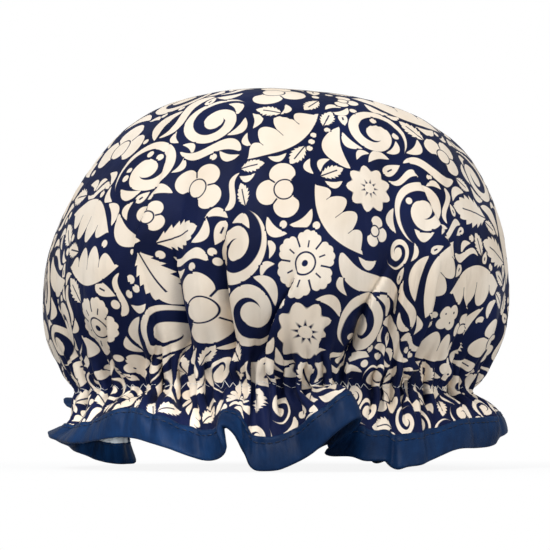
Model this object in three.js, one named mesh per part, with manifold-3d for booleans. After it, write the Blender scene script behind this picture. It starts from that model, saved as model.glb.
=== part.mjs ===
// A gathered shower cap: a printed satin cover and a waterproof lining, both cut as circles,
// drawn in by a sewn elastic above a flared frill, with a satin binding folded over the hem.
// Millimetres, +Z up. The hem rests on z = 0 with the head opening centred on the Z axis.
// The wearer's front faces -Y.

import * as THREE from 'three';
import Module from 'manifold-3d';
import { mergeVertices } from 'three/addons/utils/BufferGeometryUtils.js';

// Crown
const crownRadius = 116; // widest outside radius of the puffed crown
const crownRise = 148; // from the elastic's centre line up to the top
const beltRise = 51; // from the elastic's centre line up to the widest ring
const domePower = 2.45; // superellipse power of the dome: 2 is round, more is squarer
const crownLean = 5; // sideways drift of the crown's top, towards +X
const gathers = 18; // gathers drawn in by the elastic
const gatherDepth = 5.5; // ridge to valley at the elastic, fading out above it
const foldHalfWidth = 5; // of a crown fold at the elastic, in degrees
// Crown folds: degrees from the front towards +X, depth, share of the crown that they reach up
const crownFolds = [
  [-64, 6, 0.5], [-38, 6, 0.44], [-24.5, 11, 0.66], [-11.5, 11, 0.7], [3.5, 6, 0.44], [21, 10, 0.6],
  [39.5, 9, 0.5], [57, 8, 0.58], [80, 6, 0.54], [97, 7, 0.5], [113, 9, 0.6], [131, 7, 0.44], [148, 10, 0.64],
  [166, 7, 0.5], [183, 9, 0.6], [201, 7, 0.46], [219, 10, 0.66], [238, 7, 0.5], [256, 8, 0.56], [276, 5, 0.5],
];

// Elastic
const elasticRadius = 91; // centre line of the elastic, stretched to a head
const elasticWidth = 8;
const elasticThickness = 1;
const elasticLap = 12; // overlap of its two ends where they are tacked together

// Frill
const frillDepth = 32; // cloth from the elastic's lower edge to the hem
const frillDrop = 1.2; // the cloths hang this far below the elastic before they flare
const flareDrop = 7; // and fall this far at least as they flare
const archMost = 7.5; // how far the frill's spare cloth may arch out between the elastic and the hem
const hemRest = 0.6; // height of the hem's edge where it rests
// The hem as it lies: degrees from the front towards +X, radius, height
const hemWaves = [
  [-185, 97, 4], [-175, 115, 15], [-170, 121, 19], [-150, 117, 16.5], [-140, 112, 7], [-130, 104.5, hemRest],
  [-120, 104, 2], [-105, 104, 7], [-90, 107, 13.4], [-80, 110.5, 16], [-50, 113, 12.6], [-35, 115, 15],
  [-15, 114, 5.5], [-10, 120, 16], [-5, 112, 3], [0, 111, hemRest], [15, 122, 19], [20, 112, 7],
  [30, 116, hemRest], [45, 114, 10], [65, 113, 13], [85, 112, 18], [95, 112, 19.5], [105, 105, 14],
  [115, 94, 7], [125, 112, 13], [130, 116, 15], [135, 112, 12], [140, 100, 4], [145, 95, hemRest],
  [155, 113, 12], [160, 116, 14], [170, 100, 6], [175, 97, 4],
];

// Cloth, tape and thread
const coverThickness = 0.5;
const liningThickness = 0.4;
const liningSlack = 1.6; // between the cover's fold valleys and the lining, inside the crown
const bindingDepth = 13.5; // each flap of the folded binding
const bindingThickness = 0.8;
const bindingStitchInset = 2.5; // from the binding's upper edge down to its stitching
const threadRadius = 0.35;
const zigzagWidth = 4; // height of the zigzag that sews the elastic
const tackWidth = 5; // height of the tack that joins the elastic's ends

// Fits
const fitGap = 0.3; // between sewn layers
const footFlat = 0.5; // flattening of the hem where it rests

// Facets
const segments = 72; // around the opening: 4 to a gather
const threadSides = 4;

// Levels worked out from the sizes
const tau = Math.PI * 2;
const bandBottomZ = frillDepth + fitGap + bindingThickness - footFlat;
const frillTopZ = bandBottomZ - frillDrop;
const elasticZ = bandBottomZ + elasticWidth / 2;
const bandTopZ = bandBottomZ + elasticWidth;
const beltZ = elasticZ + beltRise;
const domeHeight = crownRise - beltRise;

// Half thickness of the sewn layers from the frill's middle surface
const coverMid = fitGap / 2 + coverThickness / 2;
const liningMid = -(fitGap / 2 + liningThickness / 2);
const outerFlapInside = coverMid + coverThickness / 2 + fitGap;
const innerFlapInside = liningMid - liningThickness / 2 - fitGap;

// Radii of the two cloths where they lie against the elastic
const coverBandRadius = elasticRadius + elasticThickness / 2 + fitGap + coverThickness / 2;
const liningBandRadius = elasticRadius - elasticThickness / 2 - fitGap - liningThickness / 2;

// 1 on a gather's ridge, 0 in its valley
const gatherRidge = (angle) => (1 + Math.cos(gathers * angle)) / 2;

// Degrees from the front towards +X, for an angle from +X
const fromFront = (angle) => THREE.MathUtils.radToDeg(angle) + 90;

const polar = (radius, angle, z, x = 0) =>
  new THREE.Vector3(x + radius * Math.cos(angle), radius * Math.sin(angle), z);

// Outline of the crown: v runs from 0 at the elastic's upper edge to 1 at the top
const beltShare = 0.34; // share of v below the widest ring
function crownOutline(v) {
  const startRadius = coverBandRadius + gatherDepth;
  const widest = crownRadius - coverThickness / 2;
  if (v < beltShare) {
    const below = 1 - v / beltShare;
    return { radius: widest - (widest - startRadius) * below ** 2, z: beltZ - (beltZ - bandTopZ) * below };
  }
  const turn = ((v - beltShare) / (1 - beltShare)) * (Math.PI / 2);
  const top = domeHeight - coverThickness / 2;
  return {
    radius: widest * Math.max(Math.cos(turn), 0) ** (2 / domePower),
    z: beltZ + top * Math.sin(turn) ** (2 / domePower),
  };
}

// Gathers fade out above the elastic, where the longer folds of the crown take over and die out further up
const gatherFade = (v) => Math.max(1 - v / beltShare, 0) ** 2;
function foldAt(angle, v) {
  return crownFolds.reduce((sum, [degrees, depth, reach]) => {
    const away = THREE.MathUtils.euclideanModulo(fromFront(angle) - degrees + 180, 360) - 180;
    const rise = v / reach;
    const height = THREE.MathUtils.smoothstep(rise, 0, 0.2) * (1 - THREE.MathUtils.smoothstep(rise, 0.2, 1));
    return sum + depth * height * Math.exp(-((away / (foldHalfWidth * (1 + rise))) ** 2));
  }, 0);
}
const leanAt = (z) => (crownLean * Math.max(z - beltZ, 0)) / domeHeight;

// Middle surface of the cover's crown
function coverCrown(angle, v) {
  const { radius, z } = crownOutline(v);
  const drawnIn = gatherDepth * gatherFade(v) * (1 - gatherRidge(angle)) + foldAt(angle, v);
  return polar(radius - drawnIn, angle, z, leanAt(z));
}

// Middle surface of the lining's crown: gathered at the elastic, just inside the cover's folds above it
function liningCrown(angle, v) {
  if (v === 0) return polar(liningBandRadius - gatherDepth * gatherRidge(angle), angle, bandTopZ);
  const { radius, z } = crownOutline(v);
  const inset = gatherDepth * gatherFade(v) + foldAt(angle, v) + liningSlack;
  const lowered = beltZ + (z - beltZ) * (z > beltZ ? 1 - liningSlack / domeHeight : 1);
  return polar(Math.max(radius - inset, 0), angle, lowered, leanAt(z));
}

// The hem's edge at an angle, on a smooth curve through its listed waves
const hemCurve = new THREE.CubicInterpolant(
  hemWaves.map(([degrees]) => degrees),
  hemWaves.flatMap(([, radius, z]) => [radius, z]),
  2,
);
hemCurve.settings = { endingStart: THREE.WrapAroundEnding, endingEnd: THREE.WrapAroundEnding };
function hemAt(angle) {
  const first = hemWaves[0][0];
  const degrees = THREE.MathUtils.euclideanModulo(fromFront(angle) - first, 360) + first;
  const [radius, z] = hemCurve.evaluate(degrees);
  return polar(radius, angle, z);
}

// Middle surface of the frill between its two cloths: depth runs from the elastic's lower edge to the hem.
// Where the hem lies nearer than the cloth is deep, the spare cloth arches out.
function frill(angle, depth) {
  const top = polar(elasticRadius, angle, frillTopZ);
  const hem = hemAt(angle);
  const fall = top.z - hem.z;
  const flare = Math.hypot(hem.x, hem.y) - elasticRadius;
  const straight = Math.hypot(fall, flare);
  const arch = Math.min(Math.sqrt(0.375 * Math.max(frillDepth - straight, 0) * straight), archMost);
  const middle = top.clone().lerp(hem, 0.5).add(polar((2 * arch * fall) / straight, angle, 0));
  middle.z = Math.min(middle.z + (2 * arch * Math.max(flare, 0)) / straight, frillTopZ - flareDrop);
  const share = depth / frillDepth;
  return top.multiplyScalar((1 - share) ** 2)
    .addScaledVector(middle, 2 * share * (1 - share))
    .addScaledVector(hem, share ** 2);
}

// Outward normal and downward direction of a surface given by two parameters
const probe = 1e-3;
function frameAt(surface, angle, along, step) {
  const around = surface(angle + probe, along).sub(surface(angle - probe, along)).normalize();
  const down = surface(angle, along + step).sub(surface(angle, along - step)).normalize();
  return { down, out: down.clone().cross(around).normalize() };
}

// A point of the frill, moved outward by an offset and, past the hem, further down the cloth
function frillPoint(angle, depth, offset) {
  const inside = Math.min(depth, frillDepth);
  const { down, out } = frameAt(frill, angle, inside, probe);
  return frill(angle, inside).addScaledVector(out, offset).addScaledVector(down, depth - inside);
}

// A point of the crown, moved outward by an offset
function crownPoint(surface, angle, v, offset) {
  if (v === 1) return surface(angle, v).add(new THREE.Vector3(0, 0, offset));
  if (v === 0) return surface(angle, v).add(polar(offset, angle, 0));
  const { out } = frameAt(surface, angle, v, -probe);
  return surface(angle, v).addScaledVector(out, offset);
}

const ring = (count, at) => Array.from({ length: count }, (_, i) => at((i / count) * tau));

// Solids from rows and loops of points

class MeshBuilder {
  constructor() {
    this.points = [];
    this.faces = [];
  }

  add(points) {
    return points.map((point) => this.points.push(point) - 1);
  }

  face(a, b, c, flip) {
    this.faces.push(...(flip ? [a, c, b] : [a, b, c]));
  }

  // Joins two closed rows, the upper one first. The lower row has as many points, or twice as many.
  strip(upper, lower, flip = false) {
    const ratio = lower.length / upper.length;
    upper.forEach((a, i) => {
      const next = upper[(i + 1) % upper.length];
      const at = (k) => lower[(i * ratio + k) % lower.length];
      this.face(a, at(0), at(1), flip);
      if (ratio === 2) this.face(a, at(1), at(2), flip);
      this.face(a, at(ratio), next, flip);
    });
  }

  fan(centre, row, flip = false) {
    row.forEach((a, i) => this.face(centre, a, row[(i + 1) % row.length], flip));
  }

  geometry() {
    const made = new THREE.BufferGeometry().setFromPoints(this.points);
    made.setIndex(this.faces);
    made.computeVertexNormals();
    return made;
  }
}

// A cloth of two sides from its top point and rows down to its hem, with an edge that closes it there
function clothShell(outside, inside) {
  const builder = new MeshBuilder();
  const sides = [outside, inside].map(({ top, rows }) => {
    const [centre] = builder.add([top]);
    return { centre, rows: rows.map((row) => builder.add(row)) };
  });
  sides.forEach(({ centre, rows }, side) => {
    builder.fan(centre, rows[0], side === 1);
    rows.slice(1).forEach((row, i) => builder.strip(rows[i], row, side === 1));
  });
  builder.strip(sides[0].rows.at(-1), sides[1].rows.at(-1));
  return builder.geometry();
}

// A section carried through stations: closed into a ring, or open with flat ends
function sweep(stations, closed) {
  const builder = new MeshBuilder();
  const loops = stations.map((station) => builder.add(station));
  const last = closed ? loops.length : loops.length - 1;
  for (let i = 0; i < last; i++) builder.strip(loops[i], loops[(i + 1) % loops.length]);
  if (!closed) {
    const cap = (loop, flip) =>
      loop.slice(2).forEach((_, i) => builder.face(loop[0], loop[i + 1], loop[i + 2], flip));
    cap(loops[0], false);
    cap(loops.at(-1), true);
  }
  return builder.geometry();
}

// A closed ring from the rows that run along it, listed outer top, inwards, down and back.
// Every strip is split from its upper row, as the cloths are, so that layers lie flat on each other.
function ringOfRows(rows) {
  const builder = new MeshBuilder();
  const added = rows.map((row) => builder.add(row));
  added.forEach((row, i) => {
    const next = added[(i + 1) % added.length];
    if (rows[i][0].z > builder.points[next[0]].z) builder.strip(row, next, true);
    else builder.strip(next, row);
  });
  return builder.geometry();
}

// A round thread's section about a point, in the plane of two directions
const threadSection = (centre, across, along, stretch = 1) =>
  ring(threadSides, (turn) =>
    centre
      .clone()
      .addScaledVector(across, threadRadius * Math.cos(turn))
      .addScaledVector(along, threadRadius * stretch * Math.sin(turn)));

// Rows of a cloth from the top down: few points near the top, all of them from the widest ring down
const crownRows = [
  { v: 0.92, count: segments / 2 },
  { v: 0.82, count: segments / 2 },
  { v: 0.71, count: segments / 2 },
  { v: 0.59, count: segments / 2 },
  { v: 0.46, count: segments / 2 },
  { v: beltShare, count: segments },
  { v: beltShare / 2, count: segments },
  { v: 0, count: segments },
];
const bindingTop = frillDepth - bindingDepth;
const foldTop = frillDepth + fitGap;
const foldBottom = foldTop + bindingThickness;
const frillRows = [bindingTop, frillDepth];

function clothRows(crown, bandRadius, side, frillOffset, thickness) {
  const offset = (side * thickness) / 2;
  return {
    top: crownPoint(crown, 0, 1, offset),
    rows: [
      ...crownRows.map(({ v, count }) => ring(count, (angle) => crownPoint(crown, angle, v, offset))),
      ring(segments, (angle) => polar(bandRadius(angle) + offset, angle, frillTopZ)),
      ...frillRows.map((depth) =>
        ring(segments, (angle) => frillPoint(angle, depth, frillOffset + offset))),
    ],
  };
}

// The printed satin circle: crown, gathers and frill in one cloth
function outerCover() {
  const band = (angle) => coverBandRadius + gatherDepth * gatherRidge(angle);
  return clothShell(
    clothRows(coverCrown, band, 1, coverMid, coverThickness),
    clothRows(coverCrown, band, -1, coverMid, coverThickness),
  );
}

// The waterproof circle inside it, gathered inwards from the same elastic
function waterproofLining() {
  const band = (angle) => liningBandRadius - gatherDepth * gatherRidge(angle);
  return clothShell(
    clothRows(liningCrown, band, 1, liningMid, liningThickness),
    clothRows(liningCrown, band, -1, liningMid, liningThickness),
  );
}

// The elastic's ends lap at the gather nearest the back, where the lining stands off
const lapAngle = Math.round(gathers / 4) * (tau / gathers);
const lapHalf = elasticLap / 2 / elasticRadius;
const lapStep = elasticThickness + fitGap;

// A flat strip once round the head, its first end tucked inside its last
function elasticBand() {
  const steps = segments + 2;
  const stations = Array.from({ length: steps + 1 }, (_, i) => {
    const angle = lapAngle - lapHalf + (i / steps) * (tau + 2 * lapHalf);
    const fromStart = (angle - (lapAngle - lapHalf)) / lapHalf;
    const tuck = lapStep * THREE.MathUtils.clamp((3 - fromStart), 0, 1);
    const corner = (side, rise) =>
      polar(
        elasticRadius - tuck + (side * elasticThickness) / 2,
        angle,
        elasticZ + (rise * elasticWidth) / 2,
      );
    return [corner(1, -1), corner(1, 1), corner(-1, 1), corner(-1, -1)];
  });
  return sweep(stations, false);
}

// A short upright row of thread across the lap, on its inner face
function elasticJoinTack() {
  const radius = elasticRadius - lapStep - elasticThickness / 2 - fitGap - threadRadius;
  const steps = 8;
  const outward = polar(1, lapAngle, 0);
  const sideways = polar(1, lapAngle - Math.PI / 2, 0);
  const stations = Array.from({ length: steps + 1 }, (_, i) => {
    const swing = i % 2 === 0 ? -1 : 1;
    const centre = polar(radius, lapAngle, elasticZ + (i / steps - 0.5) * tackWidth)
      .addScaledVector(sideways, swing);
    return threadSection(centre, outward, sideways, Math.SQRT2);
  });
  return sweep(stations, false);
}

// The zigzag of white thread that shows over the gathers, a stitch to each half segment
function elasticZigzagThread() {
  const radiusAt = (angle) =>
    coverBandRadius + coverThickness / 2 + fitGap + threadRadius + gatherDepth * gatherRidge(angle);
  return sweep(zigzag(radiusAt), true);
}

// The under thread of the same zigzag, on the lining's inner face
function elasticBobbinThread() {
  const radiusAt = (angle) =>
    liningBandRadius - liningThickness / 2 - fitGap - threadRadius - gatherDepth * gatherRidge(angle);
  return sweep(zigzag(radiusAt), true);
}

function zigzag(radiusAt) {
  const step = tau / segments;
  const up = new THREE.Vector3(0, 0, 1);
  const rise = zigzagWidth / ((elasticRadius * step) / 2);
  const stretch = Math.hypot(1, rise);
  return Array.from({ length: segments * 2 }, (_, i) => {
    const angle = (i * step) / 2;
    const before = polar(radiusAt(Math.floor(i / 2) * step), Math.floor(i / 2) * step, elasticZ);
    const after = polar(radiusAt(Math.ceil(i / 2) * step), Math.ceil(i / 2) * step, elasticZ);
    const centre = before.add(after).multiplyScalar(0.5);
    centre.z += (i % 2 === 0 ? -0.5 : 0.5) * zigzagWidth;
    return threadSection(centre, polar(1, angle, 0), up, stretch);
  });
}

// Stitching round the binding near its upper edge, at an offset from the frill's middle surface.
// It follows both facets of each segment, so that it lies evenly on the flap.
function bindingStitch(offset) {
  const share = bindingStitchInset / bindingDepth;
  const step = tau / segments;
  const stations = ring(segments, (angle) => [angle, angle + step]).flatMap(([from, to]) =>
    [[from, from], [from, to]].map(([upper, lower]) => {
      const middle = upper + (lower - upper) * share;
      const { down, out } = frameAt(frill, middle, bindingTop + bindingStitchInset, probe);
      const centre = frillPoint(upper, bindingTop, offset)
        .lerp(frillPoint(lower, frillDepth, offset), share);
      return threadSection(centre, out, down.negate());
    }));
  return sweep(stations, true);
}

// Solids of the boolean library, from geometry and back
const wasm = await Module();
wasm.setup();

function solidFrom(geometry) {
  const bare = geometry.clone();
  bare.deleteAttribute('normal');
  bare.deleteAttribute('uv');
  const merged = mergeVertices(bare);
  return new wasm.Manifold(new wasm.Mesh({
    numProp: 3,
    vertProperties: new Float32Array(merged.attributes.position.array),
    triVerts: new Uint32Array(merged.index.array),
  }));
}

function geometryFrom(solid) {
  const { vertProperties, triVerts } = solid.getMesh();
  const made = new THREE.BufferGeometry();
  made.setAttribute('position', new THREE.BufferAttribute(vertProperties, 3));
  made.setIndex(new THREE.BufferAttribute(triVerts, 1));
  made.computeVertexNormals();
  return made;
}

// The satin strip folded over the hem of both cloths, flattened where the cap rests on it
function hemBinding() {
  const row = (depth, offset) => ring(segments, (angle) => frillPoint(angle, depth, offset));
  const outside = outerFlapInside + bindingThickness;
  const inside = innerFlapInside - bindingThickness;
  const folded = ringOfRows([
    row(bindingTop, outside),
    row(bindingTop, outerFlapInside),
    row(frillDepth, outerFlapInside),
    row(foldTop, outerFlapInside),
    row(foldTop, innerFlapInside),
    row(frillDepth, innerFlapInside),
    row(bindingTop, innerFlapInside),
    row(bindingTop, inside),
    row(frillDepth, inside),
    row(foldBottom, inside),
    row(foldBottom, outside),
    row(frillDepth, outside),
  ]);
  const span = 4 * (crownRadius + frillDepth);
  const floor = new THREE.BoxGeometry(span, span, span).translate(0, 0, -span / 2);
  return geometryFrom(solidFrom(folded).subtract(solidFrom(floor)));
}

// Finishes
const finish = (color, roughness) => new THREE.MeshStandardMaterial({ color, roughness, metalness: 0 });
const printedSatin = finish(0x16215a, 0.45);
const bindingSatin = finish(0x14386b, 0.38);
const liningFilm = finish(0xe3e8ea, 0.35);
const elasticKnit = finish(0xf2f0ea, 0.8);
const whiteThread = finish(0xf4f2ec, 0.6);
const navyThread = finish(0x101c3c, 0.6);

const cap = new THREE.Group();
function place(name, geometry, material) {
  const mesh = new THREE.Mesh(geometry, material);
  mesh.name = name;
  cap.add(mesh);
}

place('outer_cover', outerCover(), printedSatin);
place('waterproof_lining', waterproofLining(), liningFilm);
place('elastic_band', elasticBand(), elasticKnit);
place('elastic_join_tack', elasticJoinTack(), whiteThread);
place('elastic_zigzag_thread', elasticZigzagThread(), whiteThread);
place('elastic_bobbin_thread', elasticBobbinThread(), whiteThread);
place('hem_binding', hemBinding(), bindingSatin);
const stitchStandoff = bindingThickness + fitGap + threadRadius;
place('binding_top_thread', bindingStitch(outerFlapInside + stitchStandoff), navyThread);
place('binding_bobbin_thread', bindingStitch(innerFlapInside - stitchStandoff), navyThread);

export default cap;
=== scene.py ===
import bpy
import math
import numpy as np
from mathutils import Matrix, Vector


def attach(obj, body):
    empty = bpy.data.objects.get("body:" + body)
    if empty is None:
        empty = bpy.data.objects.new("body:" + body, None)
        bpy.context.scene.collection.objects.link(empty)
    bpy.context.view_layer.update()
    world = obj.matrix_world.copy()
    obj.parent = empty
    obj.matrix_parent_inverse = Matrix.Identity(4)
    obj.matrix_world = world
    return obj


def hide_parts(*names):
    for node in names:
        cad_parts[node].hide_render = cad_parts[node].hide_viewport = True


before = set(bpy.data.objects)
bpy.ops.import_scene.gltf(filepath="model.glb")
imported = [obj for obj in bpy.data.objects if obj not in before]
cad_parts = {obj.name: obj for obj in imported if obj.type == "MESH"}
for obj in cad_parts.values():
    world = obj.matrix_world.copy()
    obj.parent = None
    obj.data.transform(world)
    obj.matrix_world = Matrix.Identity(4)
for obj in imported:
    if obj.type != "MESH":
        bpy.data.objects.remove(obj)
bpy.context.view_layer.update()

mm = 0.001
tau = 2 * math.pi
rng = np.random.default_rng(11)

# The cap's own form, in millimetres. Angles run from the front, positive towards +X.
form = dict(
    crownRadius=115.8, topZ=182.8, beltZ=87.6, bandTopZ=40.6, bandBottomZ=32.6, domePower=2.74,
    startRadius=96.5, startCurve=3.1, beltShare=0.34, lean=10.5, slope=6.0, tilt=0.048, bandTuck=2.2,
    frillDepth=33.5, elasticRadius=91.0, gathers=108, gatherHeight=1.9, fineReach=10.0, pairReach=18.0,
    fourReach=36.0,
)


def smooth(low, high, x):
    t = np.clip((x - low) / (high - low), 0, 1)
    return t * t * (3 - 2 * t)


def wrap(angle):
    return (angle + math.pi) % tau - math.pi


def meshFrom(name, points, faces):
    mesh = bpy.data.meshes.new(name)
    mesh.from_pydata((np.asarray(points) * mm).tolist(), [], [tuple(int(i) for i in face) for face in faces])
    mesh.polygons.foreach_set("use_smooth", [True] * len(mesh.polygons))
    mesh.update()
    piece = bpy.data.objects.new(name, mesh)
    bpy.context.scene.collection.objects.link(piece)
    return piece


def pointsOf(piece):
    flat = np.empty(len(piece.data.vertices) * 3)
    piece.data.vertices.foreach_get("co", flat)
    return flat.reshape(-1, 3) / mm


def normalsOf(piece):
    flat = np.empty(len(piece.data.vertices) * 3)
    piece.data.vertices.foreach_get("normal", flat)
    return flat.reshape(-1, 3)


def setPoints(piece, points):
    piece.data.vertices.foreach_set("co", (np.asarray(points) * mm).ravel())
    piece.data.update()


def stripFaces(upper, lower):  # joins two closed rows; the lower may have twice the points
    n, m = len(upper), len(lower)
    if n == m:
        return [(upper[i], lower[i], lower[(i + 1) % n], upper[(i + 1) % n]) for i in range(n)]
    faces = []
    for i in range(n):
        c, d, e = lower[2 * i], lower[2 * i + 1], lower[(2 * i + 2) % m]
        faces += [(upper[i], c, d), (upper[i], d, upper[(i + 1) % n]), (upper[(i + 1) % n], d, e)]
    return faces


def rowsMesh(name, rows, top=None):  # closed rows from the top down, with a point to close the top
    points = [np.asarray(row) for row in rows]
    start, numbered, faces = 0, [], []
    for row in points:
        numbered.append(list(range(start, start + len(row))))
        start += len(row)
    for upper, lower in zip(numbered, numbered[1:]):
        faces += stripFaces(upper, lower)
    if top is not None:
        points.append(np.asarray([top]))
        first = numbered[0]
        faces += [(start, first[i], first[(i + 1) % len(first)]) for i in range(len(first))]
    return meshFrom(name, np.vstack(points), faces), numbered


def finishPiece(piece, node, material):
    piece.data.materials.clear()
    piece.data.materials.append(material)
    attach(piece, "root")
    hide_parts(node)


# Crown folds seen from the front: angle, depth, reach up the crown, width, tuck, slant
frontFolds = [
    (-80, 5.0, 0.55, 4.5, 1.5, 2), (-64, 7.0, 0.50, 4.2, -2.5, -3), (-51, 4.5, 0.36, 3.2, 1.5, 0),
    (-38, 6.5, 0.44, 3.6, 2.0, 2), (-24.5, 13.0, 0.66, 3.4, 6.5, -1), (-17, 4.5, 0.30, 2.6, -1.0, 2),
    (-11.5, 13.0, 0.70, 3.3, 6.5, -3), (-4, 6.0, 0.36, 2.6, 2.0, 1), (3.5, 7.0, 0.44, 2.8, -2.0, 3),
    (11, 5.0, 0.32, 2.6, -1.5, 1), (18, 10.5, 0.50, 3.2, 4.0, 2), (25, 11.0, 0.64, 3.6, 5.0, 6),
    (33, 5.5, 0.36, 2.8, 1.5, 0), (39.5, 10.5, 0.50, 3.3, -5.0, -6), (48, 5.0, 0.36, 3.0, 1.5, 0),
    (57, 9.5, 0.58, 4.0, -4.0, -22), (70, 6.0, 0.44, 3.6, 2.0, 0), (84, 6.5, 0.54, 4.2, -2.0, 3),
]
backFolds = [
    (97, 8.0, 0.50, 3.6, 3.0, 3), (113, 10.0, 0.60, 3.8, -4.0, -5), (131, 8.0, 0.44, 3.4, 3.0, 2),
    (148, 11.0, 0.64, 3.8, 4.5, 6), (166, 8.0, 0.50, 3.4, -3.0, -4), (183, 10.0, 0.60, 3.6, 4.0, 3),
    (201, 8.0, 0.46, 3.4, -3.0, -2), (219, 11.0, 0.66, 3.8, -4.5, -6), (238, 8.0, 0.50, 3.6, 3.0, 4),
    (256, 9.0, 0.56, 3.6, -3.5, -3),
]
lesserFolds = [(a + rng.uniform(-2, 2), rng.uniform(4, 6), rng.uniform(0.3, 0.42), 2.8, rng.uniform(-2, 2), 0)
               for a in np.arange(105, 260, 17.6)]
folds = frontFolds + backFolds + lesserFolds

# The hem as it lies, round from the back: angle, radius, height, and how much the spare cloth arches out
hemPoints = [
    (-188, 95, 5, 1), (-184, 97, 4, 1), (-180, 108, 9, 1), (-175, 116, 17, 1), (-169, 119, 21, 1),
    (-160, 119, 21, 1), (-150, 119, 23, 0.6), (-140, 120, 27, 0.4), (-131, 123, 31, 0.2),
    (-124, 129, 34.5, 0), (-118.5, 132, 36.5, 0), (-115.5, 128, 33.5, 0), (-119.5, 118.5, 26.5, 0),
    (-128, 115, 18, 0.3), (-134.5, 113, 9, 0.6), (-136, 109.5, 3.5, 0.8), (-132.5, 105.5, 1, 0.6),
    (-127, 103.5, 1, 0.4), (-121, 103.5, 1.8, 0.2), (-113, 104, 4, 0), (-105, 104, 7.2, -0.2),
    (-97, 105, 10.5, -0.4), (-90, 107, 13.4, -0.6), (-85, 109.5, 16.2, -0.6), (-79.5, 110.8, 17.2, -0.55),
    (-74.3, 111.5, 16.5, -0.45), (-65.5, 111.5, 14.2, -0.3), (-57.7, 112.5, 12.9, -0.1),
    (-50, 113, 12.6, 0.2), (-42.3, 114, 13.7, 0.5), (-36, 115, 15, 0.9), (-32, 115.6, 14.6, 1),
    (-27.6, 116.3, 13, 1), (-22, 115.5, 10, 1), (-18, 114.6, 7.2, 1), (-14.5, 113.4, 5.2, 1),
    (-11.6, 116.5, 6.2, 0.8), (-9.9, 120, 9.2, 0.5), (-10.2, 122, 12.6, 0.2), (-11.2, 122, 16.6, 0.1),
    (-11.6, 121.5, 19.6, 0.1), (-10.8, 120.5, 20.6, 0.1), (-9.2, 118.4, 19, 0.2), (-7.7, 115, 15.3, 0.5),
    (-6.6, 111.7, 9.2, 1), (-5.8, 110.6, 4.6, 1), (-4.4, 110.3, 1.2, 1), (0, 111, 1.2, 1), (2.7, 113, 3, 1),
    (7.5, 118, 8.6, 1), (11.5, 122, 16.7, 1), (14.2, 123, 21, 1), (16.9, 121.5, 23.6, 1),
    (17.7, 113.5, 19.3, 1), (15.7, 99, 11.9, 1), (12.2, 89.5, 6.8, 1), (13.6, 91, 6.4, 1),
    (17.4, 104.5, 7, 1), (19.3, 111, 5.2, 1), (24.4, 114.2, 5.2, 1), (25.7, 112.4, 2.6, 1),
    (26.2, 116, 1.6, 1), (28, 117, 2.8, 1), (32.3, 116, 3.6, 1), (36.3, 115.4, 5.7, 1), (44, 114, 9.8, 1),
    (56.7, 113, 10.5, 1), (66.5, 112.8, 13.4, 1), (77, 112.8, 17.4, 0.6), (85, 112, 20.8, 0.3),
    (93, 112.5, 26, 0.3), (100, 112, 27, 0.5), (106, 107, 18, 1), (111, 97, 10, 1), (115, 93, 8, 1),
    (119, 99, 10, 1), (124, 113, 14, 1), (130, 117, 15, 1), (136, 112, 12, 1), (140, 98, 3, 1),
    (144, 94, 1, 1), (148, 101, 5, 1), (153, 114, 13, 1), (159, 117, 15, 1), (165, 110, 11, 1),
    (168.5, 97, 6, 1),
]

# Creases pressed into the crown: (angle, height along the cloth) up its line, depth, side of the lip
creases = [
    ([(-27, 0), (-25.8, 13), (-24.7, 31), (-24.9, 48), (-26.5, 72)], 9, 1),
    ([(-12, 0), (-11.8, 17), (-11.7, 34), (-12.2, 53), (-14.2, 80)], 9, 1),
    ([(29.2, 24), (30.6, 38), (30.4, 47), (28.5, 66)], 7, 1),
    ([(18.1, 0), (18.9, 13), (19.8, 26), (20.9, 39), (25.8, 54), (30, 70)], 8, 1),
    ([(37.6, 0), (40.5, 7), (40.4, 24), (40.2, 37), (40.6, 60)], 8.5, -1),
    ([(-1.7, 0), (-2.3, 12), (-1.1, 21), (1.1, 32), (4.3, 43), (6.5, 62)], 7, 1),
    ([(-34, 6), (-32.3, 20), (-31.7, 34), (-32.3, 49), (-34, 70)], 5, -1),
    ([(-34, 56), (-32.7, 73), (-30.7, 92), (-31.8, 108), (-33, 136)], 2.6, 1),
    ([(46, 56), (37.7, 83), (33.4, 109), (30, 138)], 2.6, -1),
    ([(58, 0), (56, 24), (50, 58)], 6, -1), ([(-62, 0), (-63, 24), (-66, 58)], 6, 1),
    ([(9, 0), (10, 14), (12, 34)], 5, -1), ([(-44, 0), (-43, 16), (-41, 40)], 6, 1),
]
for angle in (78, 96, 118, 141, 163, 187, 209, 231, 252, 274):  # round the sides and the back
    bend = (angle + rng.uniform(-3, 3), 24)
    end = (angle + rng.uniform(-8, 8), rng.uniform(48, 84))
    creases.append(([(angle, 0), bend, end], rng.uniform(5, 8), -1 if angle < 180 else 1))
creaseForm = dict(
    wall=0.9, valley=6.5, ridge=10, rise=0.25,  # half width of the wall, widths beside it, share that rises
    lap=0.36, lapReach=8, liningRoom=1.05, liningReach=13,
)


def outline(v):  # crown's outline, v from 0 at the elastic to 1 at the top
    below = np.clip(1 - v / form["beltShare"], 0, 1)
    turn = np.clip((v - form["beltShare"]) / (1 - form["beltShare"]), 0, 1) * math.pi / 2
    rLow = form["crownRadius"] - (form["crownRadius"] - form["startRadius"]) * below ** form["startCurve"]
    zLow = form["beltZ"] - (form["beltZ"] - form["bandTopZ"]) * below
    rHigh = form["crownRadius"] * np.clip(np.cos(turn), 0, 1) ** (2 / form["domePower"])
    high = np.sin(turn) ** (2 / form["domePower"])
    shoulder = np.clip(np.sin(math.pi * high ** 1.3), 0, 1) ** 1.8
    rHigh = rHigh - form["slope"] * shoulder  # the top stays wide
    zHigh = form["beltZ"] + (form["topZ"] - form["beltZ"]) * high
    low = v < form["beltShare"]
    return np.where(low, rLow, rHigh), np.where(low, zLow, zHigh)


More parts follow.
